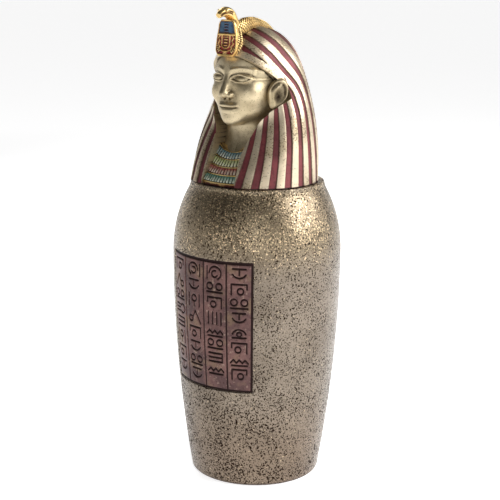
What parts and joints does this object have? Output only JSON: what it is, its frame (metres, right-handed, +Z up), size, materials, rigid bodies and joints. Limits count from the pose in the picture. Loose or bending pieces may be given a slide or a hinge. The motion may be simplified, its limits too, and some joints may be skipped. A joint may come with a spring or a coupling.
{
  "type": "canopic jar",
  "caption": "Tapering hollow jar with an incised panel and a lift-off lid cast as a head in a striped nemes headcloth with a rearing cobra.",
  "frame": {"origin": "centre of the jar's underside, on the surface it stands on", "axes": "+Z up along the jar's axis; -Y is the front, the way the face looks; +X is the figure's left"},
  "size_m": [0.0792, 0.0792, 0.2213],
  "materials": {
    "jar_bronze": "cold-cast resin with a pewter-bronze metallic coat, finely pitted, and a plum-bronze incised panel",
    "lid_gilt": "cold-cast resin with a pale gold metallic coat, dark red stripes and enamel-coloured collar and cobra"
  },
  "bodies": {
    "root": {"jar": "jar_bronze", "lid": "lid_gilt"}
  },
  "joints": []
}
